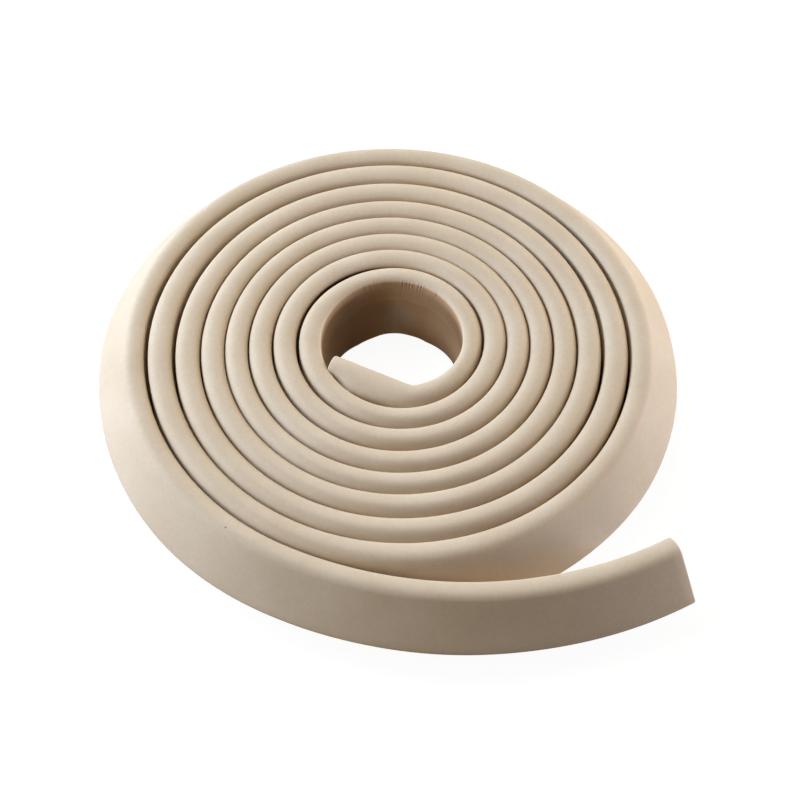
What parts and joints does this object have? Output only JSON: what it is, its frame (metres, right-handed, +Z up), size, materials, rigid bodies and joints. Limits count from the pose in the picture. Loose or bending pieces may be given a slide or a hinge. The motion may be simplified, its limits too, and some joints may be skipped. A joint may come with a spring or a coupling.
{
  "type": "edge protector strip",
  "caption": "Soft foam edge guard: a rounded L-profile folded nearly shut and wound into a flat coil, with its outer end peeling away as a curved tail.",
  "frame": {"origin": "middle of the coil's footprint, on the surface that the lower edges of the upright legs stand on", "axes": "+Z up, square to the coil and out of its ridges; the tail runs along the -Y side and ends towards +X"},
  "size_m": [0.2508, 0.2626, 0.0265],
  "materials": {
    "foam": "matte"
  },
  "bodies": {
    "root": {"edge_strip": "foam"}
  },
  "joints": []
}
